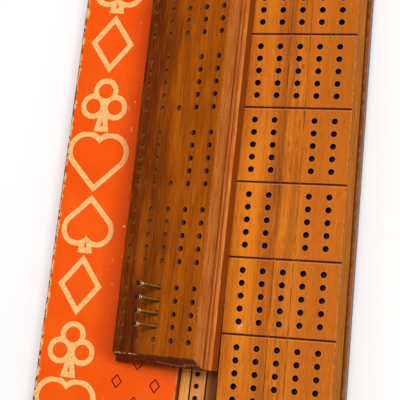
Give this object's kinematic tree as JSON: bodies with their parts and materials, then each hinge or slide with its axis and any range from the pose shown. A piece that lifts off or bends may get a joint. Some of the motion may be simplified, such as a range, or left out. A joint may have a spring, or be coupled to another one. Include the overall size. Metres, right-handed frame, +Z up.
{
  "type": "cribbage box with drawer",
  "caption": "Wooden cribbage box with a card drawer under its pegging board, a moulded board leaning on it with brass pegs, a scoring strip and a printed card carton.",
  "frame": {"origin": "centre of the wooden box's underside, on the table", "axes": "+X to the right across the box, +Y along the box towards its far end away from the drawer's knob, +Z up"},
  "size_m": [0.2033, 0.3588, 0.077],
  "materials": {
    "box_top_wood": "oiled orange-brown wood with lengthwise bands, low sheen",
    "box_side_wood": "oiled orange-brown wood, low sheen",
    "plinth_wood": "stained brown wood, low sheen",
    "plain_wood": "bare pale wood",
    "felt": "dark green felt",
    "brass": "turned brass, slightly aged",
    "board_wood": "polished red-brown wood, glossy",
    "peg_brass": "tarnished brass with darker heads",
    "printed_card": "orange printed card, worn at the folds",
    "plain_card": "plain grey-cream card",
    "strip_wood": "light oiled wood",
    "dark_inlay": "dark let-in wood line"
  },
  "bodies": {
    "box": {"box_top": "box_top_wood", "box_side_left": "box_side_wood", "box_side_right": "box_side_wood", "box_end": "box_side_wood", "box_base": "plinth_wood", "base_felt": "felt", "runner_left": "plain_wood", "runner_right": "plain_wood"},
    "drawer": {"drawer_front": "box_side_wood", "drawer_side_left": "plain_wood", "drawer_side_right": "plain_wood", "drawer_back": "plain_wood", "drawer_bottom": "plain_wood", "drawer_divider_1": "plain_wood", "drawer_divider_2": "plain_wood", "drawer_knob": "brass", "drawer_knob_screw": "brass"},
    "board": {"leaning_board": "board_wood"},
    "sleeve": {"carton_sleeve": "printed_card"},
    "tray": {"carton_tray": "plain_card"},
    "strip": {"strip_board": "strip_wood", "inlay_left": "dark_inlay", "inlay_right": "dark_inlay"},
    "peg_1": {"peg_1": "peg_brass"},
    "peg_2": {"peg_2": "peg_brass"},
    "peg_3": {"peg_3": "peg_brass"},
    "peg_4": {"peg_4": "peg_brass"}
  },
  "joints": [
    {"name": "drawer_slide", "type": "slide", "parent": "box", "child": "drawer", "axis": [0, -1, 0], "range_m": [0, 0.24]},
    {"name": "board_lift", "type": "slide", "parent": "box", "child": "board", "axis": [0, 0, 1], "range_m": [0, 0.1]},
    {"name": "carton_shift", "type": "slide", "parent": "box", "child": "sleeve", "axis": [-1, 0, 0], "range_m": [0, 0.08]},
    {"name": "tray_slide", "type": "slide", "parent": "sleeve", "child": "tray", "axis": [-0.0384, -0.9993, 0], "range_m": [0, 0.2]},
    {"name": "strip_slide", "type": "slide", "parent": "box", "child": "strip", "axis": [-0.0384, -0.9993, 0], "range_m": [0, 0.15]},
    {"name": "peg_1_pull", "type": "slide", "parent": "board", "child": "peg_1", "axis": [-0.3078, 0.0067, 0.9514], "range_m": [0, 0.012]},
    {"name": "peg_2_pull", "type": "slide", "parent": "board", "child": "peg_2", "axis": [-0.3078, 0.0067, 0.9514], "range_m": [0, 0.012]},
    {"name": "peg_3_pull", "type": "slide", "parent": "board", "child": "peg_3", "axis": [-0.3078, 0.0067, 0.9514], "range_m": [0, 0.012]},
    {"name": "peg_4_pull", "type": "slide", "parent": "board", "child": "peg_4", "axis": [-0.3078, 0.0067, 0.9514], "range_m": [0, 0.012]}
  ]
}
